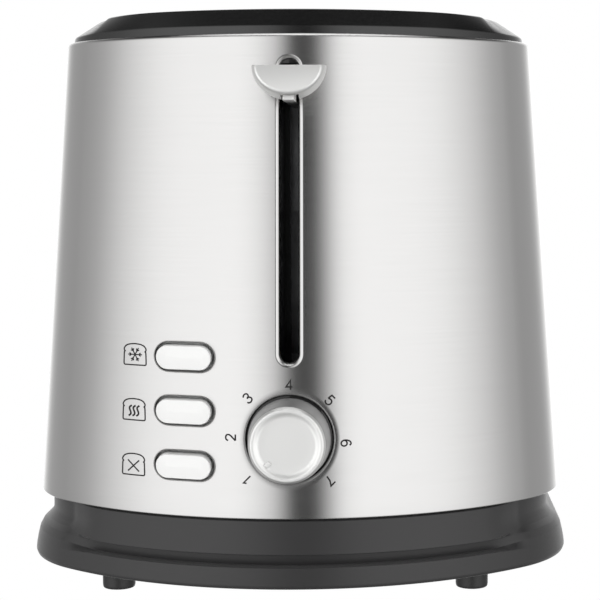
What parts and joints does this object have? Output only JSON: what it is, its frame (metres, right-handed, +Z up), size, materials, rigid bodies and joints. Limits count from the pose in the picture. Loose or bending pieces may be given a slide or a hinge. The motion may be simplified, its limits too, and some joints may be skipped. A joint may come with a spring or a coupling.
{
  "type": "pop up toaster",
  "caption": "Pop up toaster: black cover with bread slots, tapered brushed steel shell, lever, browning dial, push buttons, hinged bread guides and a rear crumb tray.",
  "frame": {"origin": "middle of the footprint, on the surface the toaster stands on", "axes": "+Z up, -Y towards the front with the lever and the dial, +X to the right seen from the front"},
  "size_m": [0.185, 0.2916, 0.19],
  "materials": {
    "brushed_steel": "fine horizontal brushing, satin",
    "black_plastic": "satin black moulding",
    "grey_plastic": "satin dark grey moulding",
    "foot_rubber": "matt black rubber",
    "silver_plastic": "silver grey satin moulding",
    "white_plastic": "white satin moulding",
    "galvanised_sheet": "zinc coated sheet",
    "reflector_sheet": "bright aluminised sheet",
    "mica": "mica board",
    "nichrome": "heating ribbon",
    "chromed_wire": "bright plated wire",
    "circuit_board": "paper laminate",
    "soft_iron": "bare iron",
    "copper_winding": "enamelled copper wire",
    "steel_fastener": "plated steel"
  },
  "bodies": {
    "housing": {"base_screw_front_left": "steel_fastener", "base_screw_front_right": "steel_fastener", "base_screw_rear_left": "steel_fastener", "base_screw_rear_right": "steel_fastener", "base_skirt": "grey_plastic", "bottom_plate": "galvanised_sheet", "button_switch_bank": "black_plastic", "chassis_front_plate": "galvanised_sheet", "chassis_rear_plate": "galvanised_sheet", "chassis_screw_front_left": "steel_fastener", "chassis_screw_front_right": "steel_fastener", "chassis_screw_rear_left": "steel_fastener", "chassis_screw_rear_right": "steel_fastener", "control_board": "circuit_board", "control_carrier": "black_plastic", "cord_gland": "black_plastic", "electromagnet_coil": "copper_winding", "electromagnet_core": "soft_iron", "foot_front_left": "foot_rubber", "foot_front_right": "foot_rubber", "foot_rear_left": "foot_rubber", "foot_rear_right": "foot_rubber", "guide_rod": "steel_fastener", "guide_rod_bracket": "galvanised_sheet", "guide_rod_foot": "black_plastic", "heater_board_centre": "mica", "heater_board_left": "mica", "heater_board_right": "mica", "heater_winding_centre": "nichrome", "heater_winding_left": "nichrome", "heater_winding_right": "nichrome", "power_switch": "black_plastic", "return_spring": "steel_fastener", "side_reflector_left": "reflector_sheet", "side_reflector_right": "reflector_sheet", "slot_throat_left": "reflector_sheet", "slot_throat_right": "reflector_sheet", "steel_wrap": "brushed_steel", "timer_potentiometer": "black_plastic", "top_cover": "black_plastic"},
    "carriage": {"carriage_plate": "galvanised_sheet", "carriage_bush": "white_plastic", "lever_arm": "galvanised_sheet", "lever_knob": "silver_plastic", "bread_lifter_left": "galvanised_sheet", "bread_lifter_right": "galvanised_sheet", "latch_armature": "soft_iron"},
    "dial": {"dial_knob": "silver_plastic", "dial_shaft": "steel_fastener"},
    "defrost": {"defrost_button": "white_plastic"},
    "reheat": {"reheat_button": "white_plastic"},
    "cancel": {"cancel_button": "white_plastic"},
    "tray": {"crumb_tray": "galvanised_sheet", "tray_handle": "grey_plastic"},
    "guide_left_outer": {"bread_guide_left_outer": "chromed_wire"},
    "guide_left_inner": {"bread_guide_left_inner": "chromed_wire"},
    "guide_right_inner": {"bread_guide_right_inner": "chromed_wire"},
    "guide_right_outer": {"bread_guide_right_outer": "chromed_wire"}
  },
  "joints": [
    {"name": "lever_slide", "type": "slide", "parent": "housing", "child": "carriage", "axis": [0, 0, -1], "range_m": [0, 0.08], "stiffness_N_per_m": 60, "springref_m": -0.04, "deforming": ["return_spring"]},
    {"name": "dial_turn", "type": "hinge", "parent": "housing", "child": "dial", "pos_m": [0, -0.13333, 0.0533], "axis": [0, 1, 0], "range_deg": [0, 270]},
    {"name": "defrost_press", "type": "slide", "parent": "housing", "child": "defrost", "axis": [0, 1, 0], "range_m": [0, 0.002], "stiffness_N_per_m": 400, "springref_m": -0.001},
    {"name": "reheat_press", "type": "slide", "parent": "housing", "child": "reheat", "axis": [0, 1, 0], "range_m": [0, 0.002], "stiffness_N_per_m": 400, "springref_m": -0.001},
    {"name": "cancel_press", "type": "slide", "parent": "housing", "child": "cancel", "axis": [0, 1, 0], "range_m": [0, 0.002], "stiffness_N_per_m": 400, "springref_m": -0.001},
    {"name": "tray_slide", "type": "slide", "parent": "housing", "child": "tray", "axis": [0, 1, 0], "range_m": [0, 0.18]},
    {"name": "guide_left_outer_tilt", "type": "hinge", "parent": "housing", "child": "guide_left_outer", "pos_m": [-0.0415, 0.012, 0.05], "axis": [0, 1, 0], "range_deg": [0, 5.6]},
    {"name": "guide_left_inner_tilt", "type": "hinge", "parent": "housing", "child": "guide_left_inner", "pos_m": [-0.0085, 0.012, 0.05], "axis": [0, -1, 0], "range_deg": [0, 5.6]},
    {"name": "guide_right_inner_tilt", "type": "hinge", "parent": "housing", "child": "guide_right_inner", "pos_m": [0.0085, 0.012, 0.05], "axis": [0, 1, 0], "range_deg": [0, 5.6]},
    {"name": "guide_right_outer_tilt", "type": "hinge", "parent": "housing", "child": "guide_right_outer", "pos_m": [0.0415, 0.012, 0.05], "axis": [0, -1, 0], "range_deg": [0, 5.6]}
  ],
  "couplings": [
    {"joint": "guide_left_outer_tilt", "follows": "lever_slide", "rad_per_m": 1.2},
    {"joint": "guide_left_inner_tilt", "follows": "lever_slide", "rad_per_m": 1.2},
    {"joint": "guide_right_inner_tilt", "follows": "lever_slide", "rad_per_m": 1.2},
    {"joint": "guide_right_outer_tilt", "follows": "lever_slide", "rad_per_m": 1.2}
  ]
}
